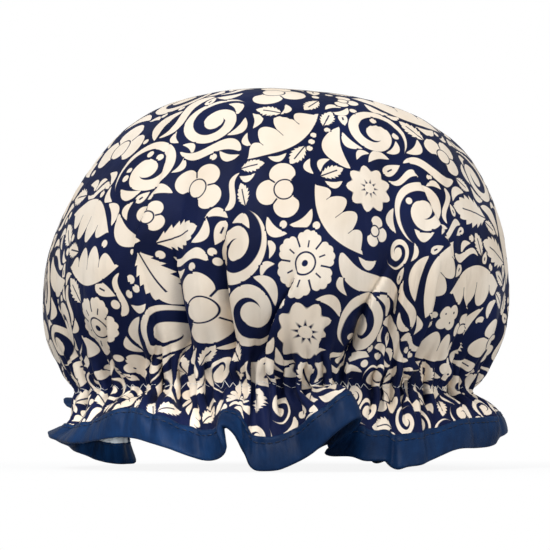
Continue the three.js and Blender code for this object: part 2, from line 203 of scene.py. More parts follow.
tableV = np.linspace(0, 1, 4001)
tableR, tableZ = outline(tableV)
tableS = np.concatenate([[0], np.cumsum(np.hypot(np.diff(tableR), np.diff(tableZ)))])
crownLength = tableS[-1]  # along the cloth from the elastic to the top
bandLength = form["bandTopZ"] - form["bandBottomZ"]
hemQ = crownLength + bandLength + form["frillDepth"]  # along the cloth from the top to the hem


def gatherPhase(a):
    return (form["gathers"] * a + 1.3 * np.sin(7 * a + 0.4) + 1.1 * np.sin(17 * a + 2.1)
            + 0.9 * np.sin(31 * a + 4.0) + 0.7 * np.sin(53 * a + 1.2))


def gatherSwell(a):
    return form["gatherHeight"] * (1 + 0.4 * np.sin(11 * a + 0.7) + 0.3 * np.sin(23 * a + 2.9))


def pleat(phase):  # round ridges, sharp valleys
    return (np.abs(np.cos(phase / 2)) ** 0.7 - 0.7) * 2.4


def wideGathers(a, away):  # gathers join in pairs as they leave the elastic
    phase = gatherPhase(a)
    pair = 1.0 * pleat(phase / 2 + 0.5) * np.exp(-(away / form["pairReach"]) ** 1.5)
    four = 1.3 * np.cos(phase / 4 + 1.1) * np.exp(-(away / form["fourReach"]) ** 1.8) * smooth(-3, 6, away)
    return gatherSwell(a) * (pair + four)


def fineGathers(a, away):
    return 1.7 * gatherSwell(a) * pleat(gatherPhase(a)) * np.exp(-(away / form["fineReach"]) ** 1.4)


def foldShift(a, v):
    depth, slide = np.zeros_like(a), np.zeros_like(a)
    for angle, deep, reach, width, tuck, slant in folds:
        rise = v / reach
        fade = (1 - smooth(0.14, 1.0, rise)) * (0.16 + 0.84 * smooth(0, 0.16, rise))
        x = wrap(a - np.radians(angle + slant * v)) / np.radians(width * (1 + 1.2 * rise))
        valley = np.exp(-(x * x + 0.012) ** 0.62) * fade
        depth += 1.35 * deep * valley
        slide += tuck * valley
    return depth, slide


def outwards(a, s):  # off the crown's plain outline
    upR, upZ = np.interp(s, tableS, tableR), np.interp(s, tableS, tableZ)
    upR, upZ = np.interp(s + 2, tableS, tableR) - upR, np.interp(s + 2, tableS, tableZ) - upZ
    long = np.maximum(np.hypot(upR, upZ), 1e-6)
    return np.stack([np.sin(a) * upZ / long, -np.cos(a) * upZ / long, -upR / long], -1)


def creaseShift(a, s):  # dip, sideways slide, and the room the lining keeps below
    shape = creaseForm
    dip, slide, under = np.zeros_like(a), np.zeros_like(a), np.zeros_like(a)
    for line, deep, lip in creases:
        lineA, lineS = [p[0] for p in line], [p[1] for p in line]
        fade = deep * smooth(lineS[0] - 6, lineS[0] + 10, s) * (1 - smooth(0.4 * lineS[-1], lineS[-1], s))
        u = lip * wrap(a - np.radians(np.interp(s, lineS, lineA))) * np.interp(s, tableS, tableR)
        over = smooth(-shape["wall"], shape["wall"], u)
        valley = (1 - over) * np.exp(np.minimum(u, 0) / shape["valley"])
        ridge = shape["rise"] * over * np.exp(-np.maximum(u, 0) / shape["ridge"])
        dip += fade * (valley - ridge)
        slide -= lip * shape["lap"] * fade * over * np.exp(-np.maximum(u, 0) / shape["lapReach"])
        under += shape["liningRoom"] * fade * np.exp(-(u / shape["liningReach"]) ** 2)
    return dip, slide, under


def drawnIn(a, s):  # how far the cloth is drawn along its row into the creases beside it
    around, low, high, step, reach = 2048, -8.0, 146, 2.0, 90
    gridA, gridS = np.meshgrid(np.arange(around) / around * tau, np.arange(low, high, step))
    dip, slide = creaseShift(gridA, gridS)[:2]
    plain = np.interp(gridS, tableS, tableR) * tau / around
    longer = np.hypot(plain + np.roll(slide, -1, 1) - slide, np.roll(dip, -1, 1) - dip) - plain
    run = np.cumsum(longer, 1)
    wide = np.hstack([run[:, -reach:] - run[:, -1:], run, run[:, :reach] + run[:, -1:]])
    window = np.hanning(2 * reach + 1) / np.hanning(2 * reach + 1).sum()
    drawn = run - np.array([np.convolve(row, window, "valid") for row in wide])
    column, height = a / tau * around, np.clip((s - low) / step, 0, len(drawn) - 1.001)
    i, k = np.floor(column).astype(int), np.floor(height).astype(int)
    t, w = column - i, height - k
    here, there = (drawn[k + j, i % around] * (1 - t) + drawn[k + j, (i + 1) % around] * t for j in (0, 1))
    return here * (1 - w) + there * w


def leanAt(z):
    high = np.clip((z - form["beltZ"]) / (form["topZ"] - form["beltZ"]), 0, 1)
    return form["lean"] * high ** 1.4 * (1 - 0.6 * smooth(0.85, 1, high))


def crownPoint(a, s):
    v = np.interp(s, tableS, tableV)
    r, z = outline(v)
    depth, slide = foldShift(a, v)
    soft = (1.0 * np.sin(5 * a + 1.0 + 3 * v) + 0.9 * np.sin(8 * a + 4 * v + 0.3)
            + 0.7 * np.sin(13 * a - 5 * v)) * (1 - smooth(0.6, 1.0, v))
    r = r - depth * np.minimum(1, r / 40) + soft * np.minimum(1, r / 60) + wideGathers(a, s)
    turned = a + slide / np.maximum(r, 20)
    x = r * np.sin(turned) + leanAt(z)
    drop = form["tilt"] * x * smooth(form["beltZ"], form["topZ"], z)
    return np.stack([x, -r * np.cos(turned), z - drop], -1)


def bandPoint(a, q):
    top = crownPoint(a, 0 * a)
    r = np.hypot(top[:, 0], top[:, 1]) - form["bandTuck"] * math.sin(math.pi * q)
    turned = np.arctan2(top[:, 0], -top[:, 1])
    z = form["bandTopZ"] - bandLength * q
    return np.stack([r * np.sin(turned), -r * np.cos(turned), z + 0 * a], -1)


def closedCurve(points, samples):  # smooth closed curve through the points
    points = np.asarray(points, float)
    k = np.arange(samples) / samples * len(points)
    i = np.floor(k).astype(int)
    t = (k - i)[:, None]
    p0, p1, p2, p3 = (points[(i + j) % len(points)] for j in (-1, 0, 1, 2))
    return 0.5 * (2 * p1 + (p2 - p0) * t + (2 * p0 - 5 * p1 + 4 * p2 - p3) * t ** 2
                  + (3 * p1 - p0 - 3 * p2 + p3) * t ** 3)


hemPath = closedCurve([(r * math.sin(math.radians(a)), -r * math.cos(math.radians(a)), z, arch)
                       for a, r, z, arch in hemPoints], 8000)
hemPath = np.vstack([hemPath, hemPath[:1]])
hemRun = np.concatenate([[0], np.cumsum(np.linalg.norm(np.diff(hemPath[:, :3], axis=0), axis=1))])
hemTurn = np.unwrap(np.arctan2(hemPath[:, 0], -hemPath[:, 1]))
hemEven = hemRun / hemRun[-1] * tau  # the cloth is even along the hem, with a share held to its own side
window = np.hanning(901) / np.hanning(901).sum()
lagging = hemTurn - hemEven
lagging = np.convolve(np.concatenate([lagging[-451:-1], lagging, lagging[1:451]]), window, "valid")
hemEven = np.maximum.accumulate(hemEven + 0.55 * lagging + 0.45 * np.mean(lagging))
print("hem", round(hemRun[-1]), "mm along")


def hemPoint(a):
    where = hemEven[0] + (a - hemEven[0]) % tau
    return np.stack([np.interp(where, hemEven, hemPath[:, i]) for i in range(4)], -1)


frill = dict(leastSpare=0.3, mostSpare=12, mostArch=7.5, ripple=0.8)


def frillPoint(a, d):
    top, hem = bandPoint(a, 1.0), hemPoint(a)
    arch, hem = np.clip(hem[:, 3], -1, 1), hem[:, :3]
    straight = np.linalg.norm(hem - top, axis=1)
    spare = np.clip(form["frillDepth"] - straight, frill["leastSpare"], frill["mostSpare"])
    bulge = np.sqrt(0.375 * spare * straight)  # height of a flat arch with that much cloth to spare
    bulge = arch * np.minimum(bulge, frill["mostArch"])
    side = np.stack([np.sin(a), -np.cos(a), 0 * a], -1)
    run = np.einsum("ij,ij->i", hem - top, side)
    away = np.stack([side[:, 0] * (top[:, 2] - hem[:, 2]), side[:, 1] * (top[:, 2] - hem[:, 2]),
                     np.maximum(run, 0)], -1)
    away /= np.linalg.norm(away, axis=1)[:, None]
    mid = 0.5 * (top + hem) + away * (2 * bulge)[:, None]
    base = (1 - d) ** 2 * top + 2 * d * (1 - d) * mid + d * d * hem
    far, near = wideGathers(a, d * form["frillDepth"] + 0 * a), wideGathers(a, 0 * a)
    ripple = frill["ripple"] * (far - near * (1 - d))
    return base + side * ripple[:, None]


# Outer cover: one circle of satin, drawn in by the elastic, relaxed as cloth, then subdivided once
coverCut = dict(
    step=4.1, widest=3.0, around=384, topAround=24, topRing=4.0, bandRows=2, frillRows=10,
    frames=24, crownPin=0.25, pinFrom=60, pinFull=150, frillPin=0.35, hemRoom=1.0, elasticRoom=1.1,
    slackAt=[0, 100, 160, 225, 270], slack=[1.0, 1.02, 1.12, 1.22, 1.15],
)


def coverRings():  # kind of row, place on it, points round it, distance along the cloth from the top
    rings = []
    rows = int(round((crownLength - coverCut["topRing"]) / coverCut["step"]))
    count = coverCut["topAround"]
    for i in range(rows + 1):
        s = (crownLength - coverCut["topRing"]) * (1 - i / rows)
        r = np.interp(s, tableS, tableR)
        if count < coverCut["around"] and tau * r / count > coverCut["widest"]:
            count *= 2
        rings.append(("crown", s, count, crownLength - s))
    for i in range(coverCut["bandRows"]):
        q = (i + 1) / coverCut["bandRows"]
        rings.append(("band", q, count, crownLength + bandLength * q))
    for i in range(coverCut["frillRows"]):
        d = (i + 1) / coverCut["frillRows"]
        rings.append(("frill", d, count, crownLength + bandLength + form["frillDepth"] * d))
    return rings


def ringPoints(kind, where, count):
    a = np.arange(count) / count * tau
    if kind == "crown":
        return crownPoint(a, np.full(count, where))
    return bandPoint(a, where) if kind == "band" else frillPoint(a, where)


coverRows = coverRings()
printedCover, coverIndex = rowsMesh("printedCover", [ringPoints(k, w, n) for k, w, n, q in coverRows],
                                    (leanAt(form["topZ"]), 0, form["topZ"]))
coverStart = pointsOf(printedCover)

# The cloth's own size row by row: a wide bowl whose rows are as long as the folds need
cutPoints = np.zeros_like(coverStart)
clothPlace = np.zeros_like(coverStart)
clothPlace[-1] = (0, 1, 0)
ringQ = np.array([q for kind, where, count, q in coverRows])
ringNeed = np.array([np.linalg.norm(np.roll(coverStart[row], -1, 0) - coverStart[row], axis=1).sum() / tau
                     for row in coverIndex]) * np.interp(ringQ, coverCut["slackAt"], coverCut["slack"])
for turn in range(12):  # evened out, so that the bowl has no corners
    ringNeed[1:-1] = 0.25 * ringNeed[:-2] + 0.5 * ringNeed[1:-1] + 0.25 * ringNeed[2:]
cutR, cutZ, cutQ = 0.0, 0.0, 0.0
for (kind, where, count, q), row, want in zip(coverRows, coverIndex, ringNeed):
    grow = np.clip(want - cutR, -0.6 * (q - cutQ), 0.97 * (q - cutQ))
    cutZ -= math.sqrt((q - cutQ) ** 2 - grow ** 2)
    cutR, cutQ = cutR + grow, q
    a = np.arange(count) / count * tau
    cutPoints[row] = np.stack([cutR * np.sin(a), -cutR * np.cos(a), cutZ + 0 * a], -1)
    clothPlace[row] = np.stack([np.sin(a), np.cos(a), q + 0 * a], -1)
print("cover", len(coverStart), "points, rows", len(coverRows))


def relaxCover(piece, frames):
    grown = 10.0  # cloth settles better at ten times its size
    piece.data.vertices.foreach_set("co", (coverStart * mm * grown).ravel())
    piece.shape_key_add(name="worn")
    cut = piece.shape_key_add(name="cut", from_mix=False)
    cut.data.foreach_set("co", (cutPoints * mm * grown).ravel())
    cut.value = 0
    held = piece.vertex_groups.new(name="held")
    puff = piece.vertex_groups.new(name="puff")
    for (kind, where, count, q), row in zip(coverRows, coverIndex):
        if kind == "band" or kind == "crown" and q > crownLength - 0.1:
            held.add(row, 1.0, "REPLACE")
        elif kind == "crown":
            rise = float(smooth(coverCut["pinFrom"], coverCut["pinFull"], crownLength - q))
            held.add(row, coverCut["crownPin"] * rise, "REPLACE")
        if kind == "crown":
            puff.add(row, 1.0, "REPLACE")
        if kind == "frill":
            held.add(row, coverCut["frillPin"], "REPLACE")
    held.add([len(coverStart) - 1], coverCut["crownPin"], "REPLACE")
    puff.add([len(coverStart) - 1], 1.0, "REPLACE")
    cloth = piece.modifiers.new("drape", "CLOTH")
    soft = cloth.settings
    soft.quality = 8
    soft.mass = 0.15
    soft.air_damping = 2
    soft.tension_stiffness = soft.compression_stiffness = 25
    soft.shear_stiffness = 8
    soft.bending_stiffness = 0.4
    soft.tension_damping = soft.compression_damping = soft.shear_damping = 10
    soft.bending_damping = 1
    soft.vertex_group_mass = "held"
    soft.pin_stiffness = 2.0
    soft.rest_shape_key = cut
    soft.use_pressure = True
    soft.uniform_pressure_force = 1.2
    soft.vertex_group_pressure = "puff"
    soft.effector_weights.gravity = 0.35
    cloth.collision_settings.use_collision = False
    cloth.collision_settings.use_self_collision = False
    cloth.point_cache.frame_end = frames
    for step in range(1, frames + 1):
        bpy.context.scene.frame_set(step)
    settled = piece.evaluated_get(bpy.context.evaluated_depsgraph_get())
    flat = np.empty(len(coverStart) * 3)
    settled.data.vertices.foreach_get("co", flat)
    piece.modifiers.clear()
    piece.shape_key_clear()
    piece.vertex_groups.clear()
    bpy.context.scene.frame_set(1)
    return flat.reshape(-1, 3) / mm / grown


settledPoints = relaxCover(printedCover, coverCut["frames"])
settledPoints[:, 2] = np.maximum(settledPoints[:, 2], coverCut["hemRoom"])  # for the binding under it
setPoints(printedCover, settledPoints)
print("cloth settled, moved at most", round(float(np.abs(settledPoints - coverStart).max()), 1), "mm")

for name, values in (("clothPlace", clothPlace), ("cut", cutPoints)):
    layer = printedCover.data.attributes.new(name, "FLOAT_VECTOR", "POINT")
    layer.data.foreach_set("vector", values.ravel())


def applySubdivision(piece):
    bpy.ops.object.select_all(action="DESELECT")
    piece.select_set(True)
    bpy.context.view_layer.objects.active = piece
    bpy.ops.object.modifier_add(type="SUBSURF")
    piece.modifiers[-1].levels = piece.modifiers[-1].render_levels = 1
    bpy.ops.object.modifier_apply(modifier=piece.modifiers[-1].name)


def vectorLayer(piece, name):
    flat = np.empty(len(piece.data.vertices) * 3, np.float32)
    piece.data.attributes[name].data.foreach_get("vector", flat)
    return flat.reshape(-1, 3).astype(float)


coarsePoints, coarseNormals = settledPoints, normalsOf(printedCover)
applySubdivision(printedCover)
place = vectorLayer(printedCover, "clothPlace")
coverAngle, coverQ = np.arctan2(place[:, 0], place[:, 1]) % tau, place[:, 2]
fromBand = np.maximum(np.abs(coverQ - crownLength - bandLength / 2) - bandLength / 2, 0)
ripple = fineGathers(coverAngle, fromBand)
dip, slide = creaseShift(coverAngle, crownLength - coverQ)[:2]
aside = np.stack([np.cos(coverAngle), np.sin(coverAngle), 0 * slide], -1) * slide[:, None]
gathered = pointsOf(printedCover) + normalsOf(printedCover) * ripple[:, None] + aside
gathered -= outwards(coverAngle, np.maximum(crownLength - coverQ, 0)) * dip[:, None]
atBand = np.hypot(gathered[:, 0], gathered[:, 1])
clearOf = form["elasticRadius"] + coverCut["elasticRoom"]  # the elastic is inside
keepOut = np.where(fromBand < 2, np.maximum(1, clearOf / np.maximum(atBand, 1)), 1)
gathered[:, :2] *= keepOut[:, None]
setPoints(printedCover, gathered)
print("cover subdivided:", len(printedCover.data.polygons), "faces")

# Rows of the finished frill and band, for what is sewn to them
coverPoints, coverNormals = pointsOf(printedCover), normalsOf(printedCover)
rowQ, rowPoints, rowNormals = [], [], []
rowKey = np.round(coverQ * 50).astype(int)  # rows told apart to a fiftieth of a millimetre
rowCount = 2 * coverCut["around"]
for key in np.unique(rowKey[coverQ > crownLength - 12]):
    members = np.nonzero(rowKey == key)[0]
    members = members[np.argsort((coverAngle[members] + 1e-4) % tau)]
    if len(members) == rowCount:
        rowQ.append(coverQ[members].mean())
        rowPoints.append(coverPoints[members])
        rowNormals.append(coverNormals[members])
rowQ, rowPoints, rowNormals = np.array(rowQ), np.array(rowPoints), np.array(rowNormals)
rowAngle = np.arange(rowCount) / rowCount * tau
print("sewn rows", len(rowQ), "from", round(rowQ[0] - crownLength, 1), "to", round(rowQ[-1] - crownLength, 1))


def onCloth(q, offset):  # a whole row of the cloth, moved off its face
    k = int(np.clip(np.searchsorted(rowQ, q) - 1, 0, len(rowQ) - 2))
    t = (q - rowQ[k]) / (rowQ[k + 1] - rowQ[k])  # past the hem the cloth's line is carried on
    point = rowPoints[k] * (1 - t) + rowPoints[k + 1] * t
    normal = rowNormals[k] * (1 - min(t, 1)) + rowNormals[k + 1] * min(t, 1)
    normal /= np.linalg.norm(normal, axis=1)[:, None]
    return point + normal * np.reshape(offset, (-1, 1))


def alongRow(row, k):  # places on a closed row, by fractional index
    i = np.floor(k).astype(int)
    t = (k - i)[:, None]
    return row[i % len(row)] * (1 - t) + row[(i + 1) % len(row)] * t


# The print: scroll-and-flower motifs thrown on the cloth where they fit, biggest first
printPlan = dict(
    line=0.6, swell=0.2, sharp=4.0,  # half width of a drawn line, how far the ink spreads, its edge
    cell=30, gatherZone=10, gatherMost=9.0, crownMost=60.0,  # only small motifs go near the gathers
    kinds=["dot", "daisy", "scroll", "leaf", "blossom", "curved", "tulip", "stem", "bud", "halfLeaf",
           "cluster"],
    passes=[  # motif, largest and smallest half length, darts, gap
        ("scroll", 18, 14, 40, 2.4), ("halfLeaf", 23, 17, 60, 2.3), ("blossom", 15, 13, 34, 2.3),
        ("tulip", 16, 12, 70, 2.2), ("daisy", 15, 12, 60, 2.1), ("stem", 26, 16, 220, 2.0),
        ("leaf", 17, 11, 160, 2.0), ("scroll", 13, 8, 120, 1.9), ("curved", 17, 10, 400, 1.9),
        ("halfLeaf", 15, 9, 300, 1.8), ("cluster", 11, 7, 100, 1.8), ("tulip", 10, 7, 200, 1.7),
        ("stem", 15, 9, 500, 1.6), ("leaf", 10, 6, 500, 1.6), ("curved", 10, 6, 900, 1.5),
        ("bud", 9, 5.5, 400, 1.5), ("halfLeaf", 8.5, 5.5, 600, 1.4), ("curved", 6.5, 4, 1500, 1.4),
        ("bud", 5, 3.4, 240, 1.4), ("dot", 2.0, 1.3, 260, 1.3),
    ],
    room=dict(scroll=0.28, leaf=0.55, curved=0.34, stem=0.2, bud=0.45, halfLeaf=0.45, cluster=0.5),
)


def motifField(do, kind, x, y, line):  # a motif's outline and its drawing, above 0 inside
    def lowest(first, *others):
        for other in others:
            first = do("MINIMUM", first, other)
        return first

    def highest(first, *others):
        for other in others:
            first = do("MAXIMUM", first, other)
        return first

    def less(a, b):
        return do("SUBTRACT", a, b)

    def times(a, b):
        return do("MULTIPLY", a, b)

    def size(a):
        return do("ABSOLUTE", a)

    def thin(a, share):  # a drawn line where a is 0
        return do("MULTIPLY_ADD", line, -share, a)

    def disc(cx, cy, radius):
        return less(radius, do("SQRT", do("ADD", do("POWER", size(less(x, cx)), 2),
                                          do("POWER", size(less(y, cy)), 2))))

    xx = times(x, x)
    absY = size(y)
    inside = do("MAXIMUM", less(1, xx), 0)
    r = do("SQRT", do("ADD", xx, times(y, y)))
    turn = do("ARCTAN2", y, x)
    if kind == "daisy":  # loose petals round a middle
        rib = size(do("SINE", times(turn, 4.5)))
        swell = do("SQRT", do("MAXIMUM", less(1, do("POWER", size(do("DIVIDE", less(r, 0.61), 0.39)), 2)), 0))
        petals = lowest(times(r, less(times(swell, 0.22), times(rib, 0.215))), less(1, r))
        return less(1, r), highest(petals, do("MINIMUM", less(0.2, r), less(r, 0.06)))
    if kind == "scroll":  # one thick curl from a bulb
        wound = do("MULTIPLY_ADD", turn, -1 / tau, do("DIVIDE", r, 0.62))
        arm = do("FRACT", wound)
        off = times(do("MINIMUM", arm, less(1, arm)), 0.62)
        taper = do("MINIMUM", do("MAXIMUM", times(less(0.96, r), 2.6), 0), 1)
        curl = lowest(less(times(do("MULTIPLY_ADD", r, 0.12, 0.095), taper), off), less(0.95, r))
        curl = highest(curl, less(0.25, r))
        return curl, curl
    if kind == "leaf":  # saw edges and a rib
        saw = do("FRACT", times(x, 3.2))
        body = less(times(less(1, xx), do("MULTIPLY_ADD", saw, 0.18, 0.40)), absY)
        return less(times(less(1, xx), 0.56), absY), lowest(body, highest(thin(absY, 0.9), less(x, 0.5)))
    if kind == "blossom":  # six scalloped petals, parted near the rim, ringed in the middle
        lobe = size(do("COSINE", times(turn, 3)))
        notch = size(do("SINE", times(turn, 3)))
        rim = do("ADD", do("MULTIPLY_ADD", do("POWER", lobe, 0.5), 0.25, 0.7),
                 times(size(do("SINE", times(turn, 12))), 0.05))
        parting = highest(thin(do("DIVIDE", times(r, lobe), 3), 1.0), less(0.5, r))
        stamen = highest(thin(do("DIVIDE", times(r, notch), 3), 0.9), less(0.46, r), less(r, 0.7))
        ring = thin(size(less(r, 0.33)), 1.0)
        return less(0.99, r), lowest(less(rim, r), parting, stamen, ring, less(r, 0.11))
    if kind == "curved":  # a bent blade
        bow = size(do("ADD", do("MULTIPLY_ADD", xx, -0.5, y), 0.2))
        blade = lowest(less(times(do("POWER", inside, 0.7), 0.36), bow), less(1, size(x)))
        return blade, blade
    if kind == "tulip":  # three petals on a cup
        ahead = do("LESS_THAN", size(turn), 2.356)
        flute = size(do("COSINE", times(turn, 2)))
        lip = do("MULTIPLY_ADD", ahead, do("MULTIPLY_ADD", do("POWER", flute, 0.6), 0.48, 0.22), 0.3)
        slit = highest(thin(do("DIVIDE", times(r, flute), 2), 1.0), less(0.4, r))
        return disc(0.1, 0, 0.98), lowest(less(lip, r), slit, thin(size(less(r, 0.36)), 0.9))
    if kind == "stem":  # swaying, thicker at one end
        sway = size(do("MULTIPLY_ADD", do("SINE", times(x, 2.6)), -0.3, y))
        stem = less(times(times(do("SQRT", inside), 0.19), do("MULTIPLY_ADD", x, 0.4, 1)), sway)
        stem = lowest(stem, less(1, size(x)))
        return stem, stem
    if kind == "bud":  # a drop with a slit
        t = do("MINIMUM", do("MAXIMUM", do("MULTIPLY_ADD", x, 0.5, 0.5), 0), 1)
        drop = lowest(less(times(times(do("SQRT", t), less(1, t)), 1.3), absY), less(1, size(x)))
        return drop, do("MINIMUM", drop, highest(thin(absY, 1.0), less(-0.55, x), less(x, 0.1)))
    if kind == "halfLeaf":  # lobes on one side of a bent rib
        bent = do("ADD", do("MULTIPLY_ADD", xx, -0.3, y), 0.1)
        over = do("GREATER_THAN", bent, 0)
        beat = size(do("SINE", do("MULTIPLY_ADD", x, 6.5, 0.4)))
        upper = less(times(inside, do("MULTIPLY_ADD", do("POWER", beat, 0.6), 0.40, 0.34)), bent)
        lower = do("ADD", times(inside, 0.17), bent)
        half = lowest(do("MULTIPLY_ADD", over, less(upper, lower), lower), less(1, size(x)))
        full = do("MULTIPLY_ADD", over, less(less(times(inside, 0.74), bent), lower), lower)
        return full, do("MINIMUM", half, highest(thin(do("DIVIDE", beat, 6.5), 0.6), less(0.18, bent)))
    if kind == "cluster":  # berries
        berries = highest(disc(-0.5, 0.0, 0.45), disc(0.08, 0.4, 0.44), disc(0.12, -0.42, 0.42),
                          disc(0.6, 0.02, 0.38), disc(0.05, 0.0, 0.32))
        holes = highest(disc(-0.5, 0.02, 0.11), disc(0.1, 0.38, 0.10), disc(0.14, -0.4, 0.09))
        return berries, do("MINIMUM", berries, times(holes, -1))
    return less(1, r), less(1, r)  # dot


numberOps = {
    "ADD": np.add, "SUBTRACT": np.subtract, "MULTIPLY": np.multiply, "DIVIDE": np.divide,
    "MINIMUM": np.minimum, "MAXIMUM": np.maximum, "SQRT": np.sqrt, "POWER": np.power, "ABSOLUTE": np.abs,
    "SINE": np.sin, "COSINE": np.cos, "ARCTAN2": np.arctan2, "MULTIPLY_ADD": lambda a, b, c: a * b + c,
    "FRACT": lambda a: a - np.floor(a), "GREATER_THAN": lambda a, b: (a > b) * 1.0,
    "LESS_THAN": lambda a, b: (a < b) * 1.0,
}


def doNumbers(operation, *values):
    return numberOps[operation](*values)


# Each motif takes the largest of a few sizes and turns that is clear of the others
def placeMotifs(centre, across, room):
    cell = np.floor(centre / printPlan["cell"]).astype(int)
    order = np.lexsort(cell.T)
    starts = np.nonzero(np.any(np.diff(cell[order], axis=0), axis=1))[0] + 1
    cells = {tuple(cell[part[0]]): part for part in np.split(order, starts)}
    steps = [(i, j, k) for i in (-1, 0, 1) for j in (-1, 0, 1) for k in (-1, 0, 1)]
    free = room.copy()  # distance to the nearest motif, below 0 inside one
    owner = np.zeros(len(centre), int)
    motifs = []
    for kind, most, least, darts, gap in printPlan["passes"]:
        needed = least * printPlan["room"].get(kind, 0.97) + gap
        sizes = np.repeat(np.linspace(most, least, 4), 3)
        for dart in range(darts):
            if dart % 10 == 0:
                openSpots = np.nonzero(free > needed)[0]
            if len(openSpots) == 0:
                break
            spot = openSpots[rng.integers(len(openSpots))]
            home = cell[spot]
            keys = [(home[0] + i, home[1] + j, home[2] + k) for i, j, k in steps]
            near = np.concatenate([cells[key] for key in keys if key in cells])
            apart = centre[near] - centre[spot]
            close = np.abs(apart).max(1) < 1.6 * most + 4
            near, apart = near[close], apart[close]
            side = np.cross(across[spot], (0.31, 0.84, 0.45))
            side /= np.linalg.norm(side)
            up = np.cross(across[spot], side)
            spin = rng.uniform(0, tau, len(sizes))[:, None]
            easts = np.cos(spin) * side + np.sin(spin) * up
            norths = np.cross(across[spot], easts) * rng.choice([-1, 1], len(sizes))[:, None]
            tall = sizes[:, None]
            body = motifField(doNumbers, kind, easts @ apart.T / tall, norths @ apart.T / tall,
                              printPlan["line"] / tall)[0] * tall
            taken = (free[near] < gap) | (room[near] < tall)
            clear = np.nonzero(~np.any((body > -0.3) & taken, axis=1))[0]
            if len(clear):
                k = clear[0]
                motifs.append((printPlan["kinds"].index(kind), sizes[k], centre[spot], easts[k], norths[k]))
                closer = -body[k] < free[near]
                free[near[closer]] = -body[k][closer]
                owner[near[closer]] = len(motifs) - 1
    return motifs, owner, free


def throwPrint(piece):
    cut = vectorLayer(piece, "cut")
    turn = drawnIn(coverAngle, crownLength - coverQ) / np.maximum(np.hypot(cut[:, 0], cut[:, 1]), 20)
    cut[:, :2] = np.stack([cut[:, 0] * np.cos(turn) - cut[:, 1] * np.sin(turn),
                           cut[:, 0] * np.sin(turn) + cut[:, 1] * np.cos(turn)], -1)
    corners = np.empty(len(piece.data.loops), np.int32)
    piece.data.loops.foreach_get("vertex_index", corners)
    quads = corners.reshape(-1, 4)
    across = np.cross(cut[quads[:, 2]] - cut[quads[:, 0]], cut[quads[:, 3]] - cut[quads[:, 1]])
    across /= np.linalg.norm(across, axis=1)[:, None]
    gathered = coverQ[quads].mean(1) > crownLength - printPlan["gatherZone"]
    room = np.where(gathered, printPlan["gatherMost"], printPlan["crownMost"])
    motifs, owner, free = placeMotifs(cut[quads].mean(1), across, room)
    kinds = np.array([m[0] for m in motifs], float)
    sizes = np.array([m[1] for m in motifs])
    spots, easts, norths = (np.array([m[i] for m in motifs]) for i in (2, 3, 4))
    apart = cut[quads] - spots[owner][:, None]
    local = np.stack([np.einsum("ijk,ik->ij", apart, easts[owner]),
                      np.einsum("ijk,ik->ij", apart, norths[owner])], -1) / sizes[owner][:, None, None]
    about = np.repeat(np.stack([kinds[owner], sizes[owner]], -1)[:, None], 4, 1)
    for name, values in (("motif", local), ("motifKind", about)):
        layer = piece.data.uv_layers.new(name=name)
        layer.data.foreach_set("uv", values.astype(np.float32).ravel())
    print("print:", len(motifs), "motifs, cream share", round(float(np.mean(free < 0)), 2))


throwPrint(printedCover)


# Materials
def newMaterial(name):
    material = bpy.data.materials.new(name)
    material.use_nodes = True
    tree = material.node_tree
    return material, tree, tree.nodes["Principled BSDF"]


def addNode(tree, kind, **settings):
    node = tree.nodes.new("ShaderNode" + kind)
    for key, value in settings.items():
        if key in node.inputs:
            node.inputs[key].default_value = value
        else:
            setattr(node, key, value)
    return node


def calc(tree, operation, *values):
    node = addNode(tree, "Math", operation=operation)
    for socket, value in zip(node.inputs, values):
        if isinstance(value, (int, float)):
            socket.default_value = value
        else:
            tree.links.new(value, socket)
    return node.outputs[0]


def textureOn(tree, kind, vector, **settings):
    node = addNode(tree, kind, **settings)
    tree.links.new(vector, node.inputs["Vector"])
    return node.outputs["Fac"]


def stretched(tree, vector, scale):
    node = addNode(tree, "Mapping", Scale=scale)
    tree.links.new(vector, node.inputs["Vector"])
    return node.outputs[0]


def rampFrom(tree, value, dark, light, low=0.0, high=1.0):
    ramp = addNode(tree, "ValToRGB")
    for element, colour, place in zip(ramp.color_ramp.elements, (dark, light), (low, high)):
        element.color = (*colour, 1)
        element.position = place
    tree.links.new(value, ramp.inputs[0])
    return ramp.outputs[0]


def bumpFrom(tree, height, strength, distance, under=None):  # laid over another bump where one is given
    bump = addNode(tree, "Bump", Strength=strength, Distance=distance)
    tree.links.new(height, bump.inputs["Height"])
    if under is not None:
        tree.links.new(under, bump.inputs["Normal"])
    return bump.outputs[0]


def printMask(tree):  # 1 on the cream of each motif, 0 on the ground
    def do(operation, *values):
        return calc(tree, operation, *values)

    spot = addNode(tree, "SeparateXYZ")
    tree.links.new(addNode(tree, "UVMap", uv_map="motif").outputs[0], spot.inputs[0])
    about = addNode(tree, "SeparateXYZ")
    tree.links.new(addNode(tree, "UVMap", uv_map="motifKind").outputs[0], about.inputs[0])
    kind, size = about.outputs[0], about.outputs[1]
    line = do("DIVIDE", printPlan["line"], size)
    field = None
    for number, name in enumerate(printPlan["kinds"]):
        drawn = motifField(do, name, spot.outputs[0], spot.outputs[1], line)[1]
        if field is None:
            field = drawn
        else:
            field = do("MULTIPLY_ADD", do("COMPARE", kind, number, 0.4), do("SUBTRACT", drawn, field), field)
    mask = addNode(tree, "Clamp")
    spread = do("MULTIPLY_ADD", field, size, printPlan["swell"])
    tree.links.new(do("MULTIPLY_ADD", spread, printPlan["sharp"], 0.5), mask.inputs[0])
    return mask.outputs[0]


